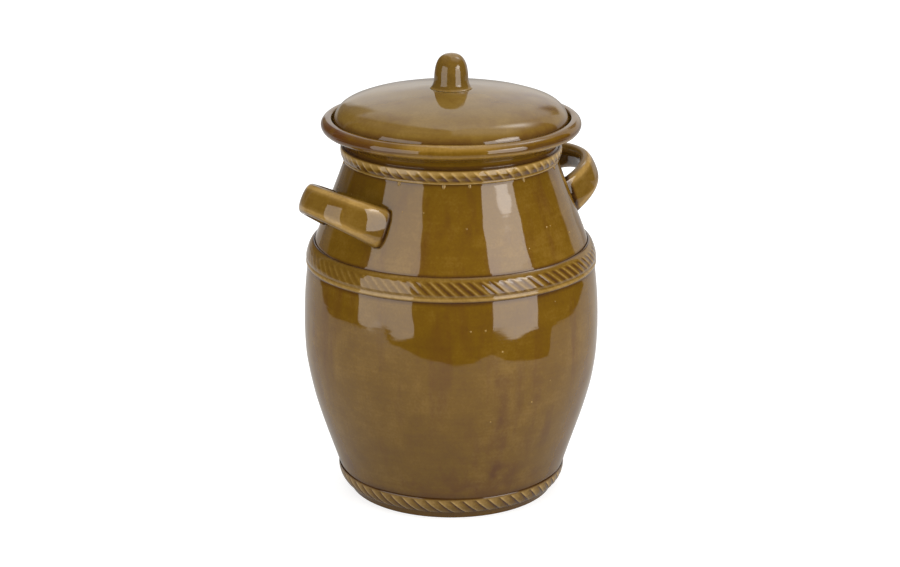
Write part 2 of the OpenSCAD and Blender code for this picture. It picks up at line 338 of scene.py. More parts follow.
@dataclass(frozen=True)
class FiredClay:
    """Unglazed stoneware clay, fired to a dry, matt and slightly speckled buff."""

    name: str
    pale: str
    dark: str
    speck: str
    roughness: float = 0.8
    ior: float = 1.5
    # Height of the grit, in millimetres
    grit: float = 0.05

    @cache
    def material(self) -> bpy.types.Material:
        """Builds the clay's node material, once for all the pieces that wear it."""
        material = empty_material(self.name)
        add = partial(add_node, material.node_tree)
        place = add("ShaderNodeTexCoord", out="Object")
        # Uneven flashing from the kiln, in patches of about 30 mm
        flash = add("ShaderNodeTexNoise", {"Vector": place, "Scale": per_mm(30), "Detail": 4.0})
        # Iron specks of about 1.5 mm, a little coarser than real ones so that they show
        specks = add("ShaderNodeTexNoise", {"Vector": place, "Scale": per_mm(1.5), "Detail": 2.0})
        colours = {6: linear(self.pale), 7: linear(self.dark)}
        ground = add("ShaderNodeMix", {0: flash, **colours}, out=2, data_type="RGBA")
        share = add("ShaderNodeMapRange", {"Value": specks, "From Min": 0.66, "From Max": 0.74, "To Max": 0.7})
        colour = add("ShaderNodeMix", {0: share, 6: ground, 7: linear(self.speck)}, out=2, data_type="RGBA")
        normal = add("ShaderNodeBump", {"Height": specks, "Distance": self.grit * MM, "Strength": 0.8})
        shader = add(
            "ShaderNodeBsdfPrincipled",
            {"Base Color": colour, "Roughness": self.roughness, "IOR": self.ior, "Normal": normal},
        )
        add("ShaderNodeOutputMaterial", {"Surface": shader})
        return material


BODY_GLAZE = Glaze(
    "honey_glaze_on_the_wall",
    ((0.0, "#a98a4a"), (0.28, "#826428"), (0.5, "#6b4e12"), (0.75, "#5a3e14"), (1.0, "#47301f")),
)
ROPE_GLAZE = Glaze(
    "honey_glaze_on_the_rope_bands",
    ((0.0, "#c0a064"), (0.22, "#997c45"), (0.5, "#70541c"), (0.78, "#553a16"), (1.0, "#452c1e")),
    streak_share=0.1, uneven=0.15, peel=0.008, lines=0.0,
)
HANDLE_GLAZE = Glaze(
    "honey_glaze_on_the_handles",
    ((0.0, "#a8884c"), (0.25, "#826632"), (0.5, "#6d521c"), (0.75, "#543914"), (1.0, "#2e1c0c")),
    streak_share=0.25, peel=0.015, lines=0.0,
)
LID_GLAZE = Glaze(
    "honey_glaze_on_the_lid",
    ((0.0, "#a88a4c"), (0.28, "#866c37"), (0.5, "#735a26"), (0.75, "#63481e"), (1.0, "#4c2f1a")),
    streak_share=0.35, lines=0.008,
)
KNOB_GLAZE = Glaze(
    "honey_glaze_on_the_knob",
    ((0.0, "#b09254"), (0.28, "#82662e"), (0.5, "#6a5120"), (0.75, "#563c18"), (1.0, "#452a16")),
    streak_share=0.2, uneven=0.2, peel=0.01, lines=0.0,
)
BARE_CLAY = FiredClay("unglazed_stoneware", "#b39a7a", "#94765a", "#5a4030")
WEIGHT_CLAY = FiredClay("unglazed_weight_stoneware", "#b8a286", "#a08668", "#6a5038")


@dataclass(frozen=True)
class IronRun:
    """A place where iron stained the glaze and ran down, its bearing in degrees, lengths in millimetres.

    A depth under 0 is a place with less iron than its neighbourhood.
    """

    bearing: float
    low: float
    high: float
    width: float
    depth: float
    # How softly its ends fade
    fade: float = 8

    def depth_at(self, bearing: float, radius: float, z: float, ragged: float) -> float:
        """Gives how deep the stain is at a place.

        Args:
            bearing: The place's bearing.
            radius: Its distance from the axis.
            z: Its height.
            ragged: How far the run's outline is moved there.

        Returns:
            0 away from the run and its depth in the middle of it.
        """
        aside = math.radians(wrap(bearing - self.bearing)) * radius + 0.3 * ragged
        started = ease(-self.fade, self.fade, z + ragged - self.low)
        ended = ease(-self.fade, self.fade, z + ragged - self.high)
        return self.depth * started * (1 - ended) * bell(aside / self.width)


def new_mesh() -> Glazed:
    """Starts a mesh that carries the glaze's thickness on its vertices."""
    bm = bmesh.new()
    return bm, bm.verts.layers.float.new("thickness")


def stain(bm: bmesh.types.BMesh, runs: tuple[IronRun, ...], rag: float = 14, rag_size: float = 18) -> None:
    """Paints iron runs on the outside of a turned piece.

    Args:
        bm: The mesh.
        runs: The runs.
        rag: How far their outlines wander, in millimetres.
        rag_size: Over what length they wander.
    """
    layer = bm.verts.layers.float.new("iron")
    bm.normal_update()
    for vert in bm.verts:
        flat = vert.co.xy
        if vert.normal.xy.dot(flat) > 0:
            ragged = rag * noise.noise(vert.co / (rag_size * MM))
            place = bearing_of(vert.co), flat.length / MM, vert.co.z / MM, ragged
            vert[layer] = clamp(sum(run.depth_at(*place) for run in runs), -1.0)


def spun(path: Path, steps: int, glaze: Callable[[int, Vector], float], angle: float = math.tau) -> Glazed:
    """Turns a profile round the Z axis.

    Args:
        path: The profile.
        steps: The number of steps.
        glaze: Gives the glaze's thickness at a point of the profile, from its number and place.
        angle: How far it turns, in radians.

    Returns:
        The mesh and its glaze thickness.
    """
    bm, layer = new_mesh()
    verts = []
    for i, p in enumerate(path):
        vert = bm.verts.new((p.x * MM, 0, p.y * MM))
        vert[layer] = glaze(i, p)
        verts.append(vert)
    edges = [bm.edges.new(pair) for pair in zip(verts, verts[1:])]
    bmesh.ops.spin(
        bm, geom=verts + edges, cent=(0, 0, 0), axis=UP, angle=angle, steps=steps, use_merge=angle == math.tau
    )
    bmesh.ops.remove_doubles(bm, verts=bm.verts, dist=SAME)
    bmesh.ops.recalc_face_normals(bm, faces=bm.faces)
    return bm, layer


def hand_thrown(bm: bmesh.types.BMesh, depth: float, size: float, seed: float) -> None:
    """Gives turned walls the slow waves of hand work, all inside the turned shape.

    Args:
        bm: The mesh, whose vertices move along their normals, but for the standing face.
        depth: The height of the waves, in millimetres.
        size: Their length, in millimetres.
        seed: Moves the waves to another place.
    """
    bm.normal_update()
    shift = Vector((seed, -seed, 2 * seed))
    moves = []
    for vert in bm.verts:
        spot = vert.co / (size * MM) + shift
        # A slow wave with a finer one on it, pulled in so that nothing stands proud
        wave = 0.9 * noise.noise(spot) + 0.4 * noise.noise(2.8 * spot)
        steady = ease(1, 12, vert.co.z / MM)
        moves.append((wave - 0.8) * depth * steady * MM * vert.normal)
    for vert, move in zip(bm.verts, moves):
        vert.co += move


def finish_piece(
    bm: bmesh.types.BMesh, name: str, finish: Glaze | FiredClay, body: Body, slot: Slot, *nodes: str
) -> None:
    """Turns a mesh into a piece of the crock.

    Args:
        bm: The finished mesh, in the row frame.
        name: The piece's name.
        finish: What it wears.
        body: The body that it moves with.
        slot: The record's slot for its finish; not used.
        nodes: The solids that it stands for.
    """
    for face in bm.faces:
        face.smooth = True
    mesh = bpy.data.meshes.new(name)
    bm.to_mesh(mesh)
    bm.free()
    mesh.materials.append(finish.material())
    piece = bpy.data.objects.new(name, mesh)
    bpy.context.scene.collection.objects.link(piece)
    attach(piece, body.value)
    if nodes:
        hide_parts(*nodes)
    log.info("%s: %d faces", name, len(mesh.polygons))


@dataclass
class CrockBody:
    """The thrown crock: foot, belly, conical shoulder, neck, flared lip and inside, all sizes in millimetres."""

    belly_r: float = 120
    belly_z: float = 138
    foot_r: float = 84
    foot_h: float = 6.5
    foot_hollow: float = 3
    foot_face: float = 12
    wall_base_r: float = 92.75
    wall_lean: float = 18
    low_pull: float = 45
    belly_pull: float = 44
    shoulder_r: float = 116.5
    shoulder_z: float = 191.5
    cone_base_r: float = 110.75
    cone_h: float = 67
    neck_r: float = 85.25
    neck_lean: float = 1.4
    throat_h: float = 22.5
    wall: float = 8
    floor_t: float = 11
    floor_round: float = 9
    foot_band_h: float = 13.5
    shoulder_band_h: float = 14.5
    neck_band_h: float = 12
    cove_h: float = 3.5
    cove_d: float = 0.7
    cove_low: float = 0.3
    cove_lean: float = 0.45
    seat_r: float = 95
    seat_depth: float = 8.5
    lip_t: float = 9.0
    lip_h: float = 8
    lip_roll: float = 6
    lip_turn: float = 60
    flare_rise: float = 7
    flare_out: float = 0.2
    flare_pull: float = 6
    edge_round: float = 1.6
    # A small flat that breaks a corner
    nick: float = 0.4
    steps: int = 288
    # Where the soft fillet over the shoulder band runs out on the cone, above its foot
    fillet_h: float = 0.8
    # Depth of the pocket between the neck band and the flare
    pocket_d: float = 1.7
    # How much thicker the glaze is under the foot band, and where it pooled: over that band, under and over the
    # shoulder band and under and over the neck band; and how much darker the lip's sides are painted, as painted
    # shade
    base_pool: float = 0.16
    foot_pool: float = 0.34
    belly_pool: float = 0.3
    cone_pool: float = 0.36
    neck_pool: float = 0.35
    flare_pool: float = 0.32
    lip_side_shade: float = 0.3
    # How much paler the lip's top and a gold line under it are painted, as thin glaze and painted highlights, and
    # that line's depth under the rim and width
    lip_thin_and_highlight: float = 0.24
    line_thin_and_highlight: float = 0.26
    line_drop: float = 9.4
    line_w: float = 1.3
    runs: tuple[IronRun, ...] = (
        IronRun(20, 40, 130, 4.5, 0.6), IronRun(17, 110, 150, 3, 0.4), IronRun(2, 20, 42, 16, 0.6),
        IronRun(25, 22, 46, 13, 0.75), IronRun(12, 20, 34, 9, 0.55), IronRun(-14, 20, 34, 12, 0.4),
        IronRun(-66, 60, 165, 6, 0.6), IronRun(-60, 20, 60, 9, 0.5), IronRun(44, 20, 36, 12, 0.5),
        IronRun(34, 95, 160, 4, 0.35), IronRun(48, 212, 240, 4, 0.5), IronRun(64, 30, 120, 8, 0.45),
        IronRun(100, 30, 150, 7, 0.5), IronRun(128, 20, 60, 16, 0.5), IronRun(155, 60, 180, 5, 0.45),
        IronRun(180, 20, 50, 18, 0.5), IronRun(-160, 40, 130, 6, 0.5), IronRun(-128, 20, 48, 16, 0.5),
        IronRun(-105, 70, 170, 6, 0.4), IronRun(-66, 298, 316, 58, 1.1), IronRun(140, 298, 316, 40, 0.6),
        IronRun(3, 298, 316, 28, -0.7), IronRun(-48, 100, 150, 9, -0.3), IronRun(-36, 40, 120, 16, -0.3),
    )

    def __post_init__(self) -> None:
        """Works out the points where the wall turns."""
        spread = self.wall_base_r - self.foot_r
        share = self.foot_h / (self.foot_h + self.foot_band_h)
        self.foot_low = at(self.foot_r + spread * share, self.foot_h)
        self.foot_high = at(self.wall_base_r, self.foot_h + self.foot_band_h)
        self.shoulder_low = at(self.shoulder_r, self.shoulder_z)
        shoulder_top = self.shoulder_z + self.shoulder_band_h
        self.shoulder_high = at(self.cone_base_r + self.cove_h * self.cove_lean, shoulder_top)
        self.cone_low = at(self.cone_base_r, shoulder_top + self.cove_h)
        self.neck_low = at(self.neck_r, self.cone_low.y + self.cone_h)
        self.neck_high = self.neck_low + at(self.neck_lean, self.neck_band_h)
        self.rim_z = self.neck_high.y + self.throat_h
        self.seat_z = self.rim_z - self.seat_depth
        self.bore_r = self.neck_r - self.wall
        self.cone_slope = (self.neck_r - self.cone_base_r) / self.cone_h
        fillet_z = self.cone_low.y + self.fillet_h
        self.fillet = at(self.cone_r(fillet_z), fillet_z)

    def cone_r(self, z: float) -> float:
        """Gives the radius of the conical shoulder at a height."""
        return self.cone_base_r + self.cone_slope * (z - self.cone_low.y)

    def outer_wall(self, count: int) -> Path:
        """Gives the wall from the foot band to the shoulder band, in two runs of count steps."""
        pull = self.foot_high + self.low_pull * turned(90 - self.wall_lean)
        belly = at(self.belly_r, self.belly_z)
        return joined(
            curve(count, self.foot_high, pull, belly - at(0, self.belly_pull), belly),
            curve(count, belly, at(self.belly_r, (self.belly_z + self.shoulder_z) / 2), self.shoulder_low),
        )

    def outside(self) -> Path:
        """Gives the profile from the middle of the base round to the top of the lip."""
        hollow, nick, edge = self.foot_hollow, self.nick, self.edge_round
        inner = self.foot_r - self.foot_face
        lip_centre = at(self.seat_r + self.lip_t - self.lip_roll, self.rim_z - self.lip_roll)
        under = lip_centre + self.lip_roll * turned(-self.lip_turn)
        return joined(
            [at(0, hollow), at(inner - hollow, hollow), at(inner - nick, nick / 2), at(inner, 0)],
            arc(at(self.foot_r - edge, edge), edge, -90, 0, 6),
            curve(4, at(self.foot_r, edge), self.foot_low),
            curve(3, self.foot_low, self.foot_high),
            self.outer_wall(44),
            curve(3, self.shoulder_low, self.shoulder_high),
            curve(
                10, self.shoulder_high,
                at(self.cone_base_r - self.cove_d, self.shoulder_high.y + self.cove_h * self.cove_low), self.fillet,
            ),
            curve(34, self.fillet, self.neck_low),
            [self.neck_low, self.neck_high, self.neck_high + at(-self.pocket_d, nick / 2)],
            curve(
                16, self.neck_high + at(-self.pocket_d, nick), self.neck_high + at(self.flare_out, self.flare_rise),
                under - self.flare_pull * turned(90 - self.lip_turn), under,
            ),
            arc(lip_centre, self.lip_roll, -self.lip_turn, 90, 16),
            arc(at(self.seat_r + edge, self.rim_z - edge), edge, 90, 180, 5),
        )

    def inside(self) -> Path:
        """Gives the profile from the lid's seat down to the middle of the floor."""
        wall = shifted(self.outer_wall(14), self.wall)
        cone_low = self.cone_low + self.wall * Vector((-1, self.cone_slope)).normalized()
        lowered = (self.wall / math.cos(math.atan(self.cone_slope)) - self.wall) / self.cone_slope
        cone_high = at(self.bore_r, self.neck_low.y + lowered)
        lean = wall[1] - wall[0]
        corner = at(wall[0].x - lean.x / lean.y * (wall[0].y - self.floor_t), self.floor_t)
        floor_edge = corner - at(self.floor_round, 0)
        bore_top = at(self.bore_r, self.seat_z - self.edge_round)
        return joined(
            [at(self.seat_r, self.seat_z + self.nick), at(self.seat_r - self.nick, self.seat_z)],
            curve(4, at(self.bore_r + self.edge_round, self.seat_z), at(self.bore_r, self.seat_z), bore_top),
            curve(3, bore_top, cone_high),
            curve(8, cone_high, cone_low),
            wall[::-1],
            curve(6, wall[0], corner, floor_edge),
            curve(3, floor_edge, at(0, self.floor_t)),
        )

    def thickness(self, z: float) -> float:
        """Gives the glaze's thickness on the outside, pooled over each band, with the lip's top and a line under it
        painted paler, as thin glaze and painted highlights.

        Args:
            z: The height.

        Returns:
            0 where it is thin and painted palest, 0.5 on the plain wall and 1 where it pooled.
        """
        if z < self.foot_low.y:
            return PLAIN + self.base_pool
        if z < self.shoulder_z:
            foot = self.foot_pool * (1 - ease(0, 5, z - self.foot_high.y))
            return PLAIN + foot + self.belly_pool * ease(-3.5, -0.5, z - self.shoulder_z)
        if z < self.neck_low.y:
            foot = self.cone_pool * (1 - ease(0.8, 3.0, z - self.cone_low.y))
            return PLAIN + foot + self.neck_pool * ease(-2.5, -0.5, z - self.neck_low.y)
        flare = self.flare_pool * (1 - ease(1.2, 3.0, z - self.neck_high.y))
        # The lip's top and a line under it are painted paler, as thin glaze and painted highlights
        lip = self.lip_thin_and_highlight * ease(-5, -3, z - self.rim_z)
        line = self.line_thin_and_highlight * bell((z - self.rim_z + self.line_drop) / self.line_w)
        return PLAIN + flare - lip - line

    def build(self) -> None:
        """Spins the crock and gives it its glaze."""
        outside = self.outside()
        count = len(outside)
        bm, layer = spun(
            joined(outside, self.inside()), self.steps, lambda i, p: self.thickness(p.y) if i < count else PLAIN
        )
        hand_thrown(bm, depth=0.45, size=50, seed=3.1)
        for vert in bm.verts:
            if vert.co.z / MM > self.rim_z - self.lip_h and vert.co.xy.length / MM > self.seat_r:
                # The lip is painted paler in front and behind and darker at its sides, as painted light and shade
                # that follow the camera's front
                aside = abs(math.sin(math.radians(bearing_of(vert.co))))
                vert[layer] += self.lip_side_shade * ease(0.18, 0.5, aside)
        stain(bm, self.runs)
        self.skin = BVHTree.FromBMesh(bm)
        finish_piece(bm, "crock_wall", BODY_GLAZE, Body.CROCK, Slot.BODY, "crock_body")


@dataclass
class RopeBand:
    """A twisted rope of clay that lies on the wall between two points of the profile, sizes in millimetres."""

    name: str
    low: Vector
    high: Vector
    strands: int
    bulge: float
    # How late a strand falls away behind its crest: 1 is evenly, larger leaves only a narrow cut
    fall: float
    # Depth of the grooves as a part of the bulge
    groove: float
    # How far the crests are painted paler, as thin glaze and a painted highlight, and how far the glaze thickens in
    # the grooves
    crest: float
    hollow: float
    # Pitches that a strand runs round while it crosses the band
    run: float
    # The glaze's thickness on a strand's face, and how far the bead and the top of the band are painted paler, as
    # thin glaze and painted highlights
    glaze: float
    bead_thin_and_highlight: float = 0.3
    top_thin_and_highlight: float = 0.0
    # How far it pooled along the band's upper and lower edge
    top_pool: float = 0.4
    foot_pool: float = 0.45
    # The bead along the band's lower edge and the plain roll along its upper edge, as parts of the band
    bead: float = 0.0
    roll: float = 0.0
    # The bead's height as a part of the bulge, and how far it reaches in under the roll
    bead_h: float = 0.55
    bead_reach: float = 1.15
    # Squareness of the band's face under and over its middle: 2 is an ellipse
    face_low: float = 2.0
    face_high: float = 2.0
    # How much of the relief is left where the glaze keeps the strands' colours
    relief: float = 1.0
    # Shares of a strand's pitch: where it rises out of the cut, and how wide the painted highlight on its crest is
    jump: float = 1 / 12
    crest_w: float = 0.17
    # A place this near behind a cut still counts to the strand before it
    nudge: float = 1e-4
    # Crispness of the strands where the glaze filled them, and the bearing where they are crisp, in degrees
    soft: float = 1.0
    crisp_at: float = 0.0
    # How far the band's foot stands off the wall
    lift: float = 0.05
    seed: int = 1
    strand_steps: int = 12
    rows: int = 26

    def crispness(self, angle: float) -> float:
        """Gives how crisp the strands are at an angle in radians, from soft where the glaze filled them to 1."""
        near = math.cos(angle - math.radians(FRONT - 90 + self.crisp_at))
        return mix(self.soft, 1.0, ease(-0.1, 0.45, near))

    def build(self) -> None:
        """Wraps a grid round the crock and twists it into strands."""
        bm, layer = new_mesh()
        bmesh.ops.create_grid(bm, x_segments=self.strands * self.strand_steps, y_segments=self.rows, size=0.5)
        across = self.high - self.low
        out = Vector((across.y, -across.x)).normalized()
        pitch = math.tau / self.strands
        chance = random.Random(self.seed)
        share = [chance.uniform(0.8, 1.1) for _ in range(self.strands)]
        for vert in bm.verts:
            strand, up = (vert.co.x + 0.5) * self.strands, (1 - math.cos(math.pi * (vert.co.y + 0.5))) / 2
            angle = pitch * (strand - self.run * up)
            lobe, edge = self.lobe(strand)
            crisp = self.crispness(angle) * share[math.ceil(strand - self.nudge) % self.strands] * self.twist(up)
            rise = self.swell(up) * (1 - self.groove * mix(self.relief, 1.0, crisp) * crisp * (1 - lobe))
            p = self.low + across * up + out * (self.lift + rise)
            vert.co = Vector((p.x * math.cos(angle), p.x * math.sin(angle), p.y)) * MM
            vert[layer] = self.thickness(up, lobe, edge, crisp)
        bmesh.ops.remove_doubles(bm, verts=bm.verts, dist=SAME)
        bmesh.ops.recalc_face_normals(bm, faces=bm.faces)
        finish_piece(bm, f"{self.name}_glazed", ROPE_GLAZE, Body.CROCK, Slot.ROPE, self.name)

    def lobe(self, strand: float) -> tuple[float, float]:
        """Gives where a place lies on its strand.

        Args:
            strand: The place round the band, counted in strands.

        Returns:
            Its height, which is 0 in the cut, 1 on the crest straight behind it and falls again to the next cut,
            and how near it is to that crest.
        """
        along = (strand - self.nudge) % 1.0 + self.nudge
        edge = bell((along - self.jump) / self.crest_w)
        if along <= self.jump:
            return ease(0, self.jump, along), edge
        return 1 - ((along - self.jump) / (1 - self.jump)) ** self.fall, edge

    def swell(self, up: float) -> float:
        """Gives how far the band stands out at a share of its height, as a roll over a smaller bead."""
        roll = clamp((up - self.bead) / (1 - self.bead))
        square = self.face_low if roll < 0.5 else self.face_high
        swell = self.bulge * (1 - abs(2 * roll - 1) ** square) ** (1 / square)
        if self.bead:
            bead = clamp(up / self.bead / self.bead_reach)
            swell = max(swell, self.bead_h * self.bulge * 2 * math.sqrt(bead * (1 - bead)))
        return swell

    def twist(self, up: float) -> float:
        """Gives how far the strands show at a share of the band's height."""
        start = ease(self.bead - 0.04, self.bead + 0.12, up) if self.bead else 1.0
        top = 1 - self.roll
        return start * (1 - ease(top - 0.1, top, up))

    def thickness(self, up: float, lobe: float, edge: float, crisp: float) -> float:
        """Gives the glaze's thickness on the rope, with painted highlights on its crests, its bead and its top worked
        in as thin glaze.

        Args:
            up: How far up the band the point lies, from 0 to 1.
            lobe: How high it lies on its strand, from 0 to 1.
            edge: How near it is to the strand's crest, where a highlight is painted, from 0 to 1.
            crisp: How far the strands show there.

        Returns:
            0 on a sharp crest, where the highlight is painted, to 1 in a deep groove.
        """
        # The band's top is painted paler, as thin glaze and a painted highlight from the light overhead
        top = self.top_thin_and_highlight * ease(0.4, 0.78, up)
        # The crests get a painted highlight as thin glaze, and the grooves pool darker
        strands = (self.hollow * (1 - lobe) * (1 - 2.8 * top) - self.crest * edge) * crisp
        # A pale line along the bead, of thin glaze and painted reflection
        bead = self.bead_thin_and_highlight * bell((up - 0.5 * self.bead) / (0.3 * self.bead)) if self.bead else 0.0
        # The painted highlights on the bead and the top of the band
        thin = bead * (0.75 + 0.25 * lobe) + top * (1 - ease(0.88, 0.97, up))
        pooled = self.top_pool * ease(0.93, 1.0, up) + self.foot_pool * (1 - ease(0, 0.05, up))
        return clamp(self.glaze + strands - thin + pooled)


@dataclass
class GlazeBeads:
    """Small healed bubbles in the glaze of the wall, and drips under the neck band, sizes in millimetres."""

    crock: CrockBody
    # Bearings in degrees and heights of the larger bubbles, and their radius
    places: tuple[tuple[float, float], ...] = (
        (7, 244.8), (48, 237.8), (64, 227.5), (12.9, 169.1), (7.3, 169), (19.4, 151.1), (32.4, 104.9), (1.5, 207.5),
    )
    large_r: float = 0.85
    # The number of small bubbles all round, their heights on the belly and on the shoulder, and their radii
    count: int = 34
    belly: tuple[float, float] = (30, 185)
    shoulder: tuple[float, float] = (216, 268)
    small_r: tuple[float, float] = (0.35, 0.7)
    # Bearings of the drips, their half-sizes, how these vary and how far the drips hang under the band
    drips: tuple[float, ...] = (-3.8, 9.6, 41, -28, 72, 115, 150, -170, -122, -84)
    drip: tuple[float, float, float] = (1.3, 2.4, 0.8)
    vary: tuple[float, float] = (0.8, 1.2)
    drop: float = 0.8
    # The glaze's thickness on the bubbles and the drips
    bubble_glaze: float = 0.15
    drip_glaze: float = 0.32
    # Distance from the axis from which a place on the wall is looked for
    far: float = 300
    seed: int = 17

    def build(self) -> None:
        """Makes the bubbles and the drips."""
        chance = random.Random(self.seed)
        spots = [(bearing, z, self.large_r) for bearing, z in self.places]
        for _ in range(self.count):
            z = chance.choice((chance.uniform(*self.belly), chance.uniform(*self.shoulder)))
            spots.append((chance.uniform(-180, 180), z, chance.uniform(*self.small_r)))
        bubbles = [(bearing, z, Vector((r, r, 0.5 * r))) for bearing, z, r in spots]
        hung = self.crock.neck_low.y - self.drop
        drips = [(bearing, hung, Vector(self.drip) * chance.uniform(*self.vary)) for bearing in self.drips]
        self.stick("glaze_bubbles", bubbles, self.bubble_glaze, BODY_GLAZE, Slot.BODY)
        self.stick("neck_drips", drips, self.drip_glaze, ROPE_GLAZE, Slot.ROPE)

    def stick(
        self, name: str, beads: list[tuple[float, float, Vector]], thickness: float, finish: Glaze, slot: Slot
    ) -> None:
        """Sets half beads on the wall.

        Args:
            name: The piece's name.
            beads: Each bead's bearing in degrees, its height, and its half-sizes round the wall, up it and out of it.
            thickness: Their glaze's thickness.
            finish: What they wear.
            slot: The record's slot for it.
        """
        bm, layer = new_mesh()
        for bearing, z, size in beads:
            out = towards(bearing)
            place, normal, *_ = self.crock.skin.ray_cast((out * self.far + UP * z) * MM, -out)
            side = UP.cross(normal).normalized()
            turn = Matrix((side, normal.cross(side), normal)).transposed().to_4x4()
            matrix = Matrix.Translation(place) @ turn @ Matrix.Diagonal((*(size * MM), 1))
            bmesh.ops.create_uvsphere(bm, u_segments=10, v_segments=6, radius=1.0, matrix=matrix)
        for vert in bm.verts:
            vert[layer] = thickness
        finish_piece(bm, name, finish, Body.CROCK, slot)


class Side(Enum):
    """The two sides of the crock that carry a handle."""

    LEFT = "left_handle"
    RIGHT = "right_handle"


@dataclass
class StrapHandle:
    """A pulled strap bent into half a ring and pressed onto the conical shoulder, sizes in millimetres."""

    side: Side
    crock: CrockBody
    rise: float
    tilt: float
    turn: float = 0.0
    span: float = 73
    reach: float = 39.2
    strap_w: float = 24.5
    root_w: float = 31.5
    strap_t: float = 11
    # How much wider the strap is on its front leg than on its rear leg
    pull: float = 0.05
    # Squareness of the strap's section: 2 is an ellipse
    square: float = 2.5
    # Squareness of the loop, whose legs are straighter than its bend: 2 is an ellipse
    bend: float = 2.4
    root_turn: float = 30
    # Depth of the roots in the wall, how near to it a root is found, and the crease that a tool pressed in round it
    seat: float = 2.0
    root_h: float = 4
    crease: float = 1.0
    crease_h: float = 2.6
    # How far the strap's edges are painted paler, as thin glaze and a painted highlight, and how far the glaze pools
    # round the roots
    edge_thin_and_highlight: float = 0.38
    root_pool: float = 0.7
    sides: int = 48
    rings: int = 160

    def build(self) -> None:
        """Spins the strap's section round the loop, spreads its roots and seats them in the wall."""
        bm, layer = new_mesh()
        half = self.span / 2
        sweep = math.radians(90 + self.root_turn)
        section = bmesh.ops.create_circle(bm, segments=self.sides, radius=1.0)["verts"]
        for vert in section:
            turn = math.atan2(vert.co.y, vert.co.x)
            c, s = math.cos(turn), math.sin(turn)
            size = (abs(c) ** self.square + abs(s) ** self.square) ** (-1 / self.square)
            # The strap's edges are painted paler, as thin glaze and a painted highlight where they catch the light
            vert[layer] = PLAIN - self.edge_thin_and_highlight * ease(0.78, 1.0, abs(math.sin(2 * turn)))
            vert.co = Vector((half + self.strap_t / 2 * c * size, 0, self.strap_w / 2 * s * size)) * MM
        bmesh.ops.rotate(bm, verts=section, cent=(0, 0, 0), matrix=Matrix.Rotation(-sweep, 3, "Z"))
        bmesh.ops.spin(
            bm, geom=section + bm.edges[:], cent=(0, 0, 0), axis=UP, angle=2 * sweep, steps=self.rings
        )
        for vert in bm.verts:
            turn = math.atan2(vert.co.y, vert.co.x)
            width = mix(self.root_w, self.strap_w, max(0.0, math.cos(turn))) * (1 - self.pull * math.sin(turn))
            vert.co.z *= width / self.strap_w
            c, s = abs(math.cos(turn)), abs(math.sin(turn))
            vert.co.xy *= (c ** self.bend + s ** self.bend) ** (-1 / self.bend)
            # The half ring reaches out a little further than it is wide
            vert.co.x += (self.reach - half) * math.cos(turn) * MM
        z = self.crock.cone_low.y + self.crock.cone_h / 2 + self.rise
        root_x = math.sqrt(self.crock.cone_r(z) ** 2 - half ** 2)
        place = Matrix.Translation(Vector((root_x, 0, z)) * MM) @ Matrix.Rotation(math.radians(-self.tilt), 4, "Y")
        bmesh.ops.transform(bm, matrix=place, verts=bm.verts)
        self.press_roots(bm, layer)
        aim = Matrix.Rotation(math.radians(self.turn), 4, "Z")
        if self.side is Side.LEFT:
            aim = Matrix.Diagonal((-1, 1, 1, 1)) @ aim
        bmesh.ops.transform(bm, matrix=aim, verts=bm.verts)
        bmesh.ops.recalc_face_normals(bm, faces=bm.faces)
        hand_thrown(bm, depth=0.3, size=30, seed=7.7 + self.turn)
        node = self.side.value
        finish_piece(bm, f"{node}_glazed", HANDLE_GLAZE, Body.CROCK, Slot.HANDLE, node)

    def press_roots(self, bm: bmesh.types.BMesh, layer: bmesh.types.BMLayerItem) -> None:
        """Cuts the loop off inside the wall and presses a crease in round each root.

        Args:
            bm: The loop on the +X side.
            layer: Its glaze thickness.
        """
        lean = math.cos(math.atan(self.crock.cone_slope))

        def height(vert: bmesh.types.BMVert) -> float:
            """Gives a vertex's height over the cone, in millimetres."""
            return (vert.co.xy.length / MM - self.crock.cone_r(vert.co.z / MM)) * lean

        deep = [f for f in bm.faces if all(height(v) < -self.seat for v in f.verts)]
        bmesh.ops.delete(bm, geom=deep, context="FACES")
        roots = {}
        for sign in (-1, 1):
            near = [v.co for v in bm.verts if v.co.y * sign > 0 and abs(height(v)) < self.root_h]
            roots[sign] = sum(near, Vector()) / max(1, len(near))
        outward = Vector((1, 0, -self.crock.cone_slope)).normalized()
        for vert in bm.verts:
            above = height(vert)
            pressed = self.crease * clamp(1 - above / self.crease_h) ** 2
            away = vert.co - roots[1 if vert.co.y > 0 else -1]
            away -= outward * away.dot(outward)
            vert.co -= away.normalized() * pressed * MM
            vert[layer] = clamp(vert[layer] + self.root_pool * (1 - ease(1.5, 4.8, above)))
        for vert in bm.verts:
            under = -self.seat - height(vert)
            if under > 0:
                vert.co.xy *= 1 + under / lean / (vert.co.xy.length / MM)
        bmesh.ops.holes_fill(bm, edges=[e for e in bm.edges if e.is_boundary], sides=0)


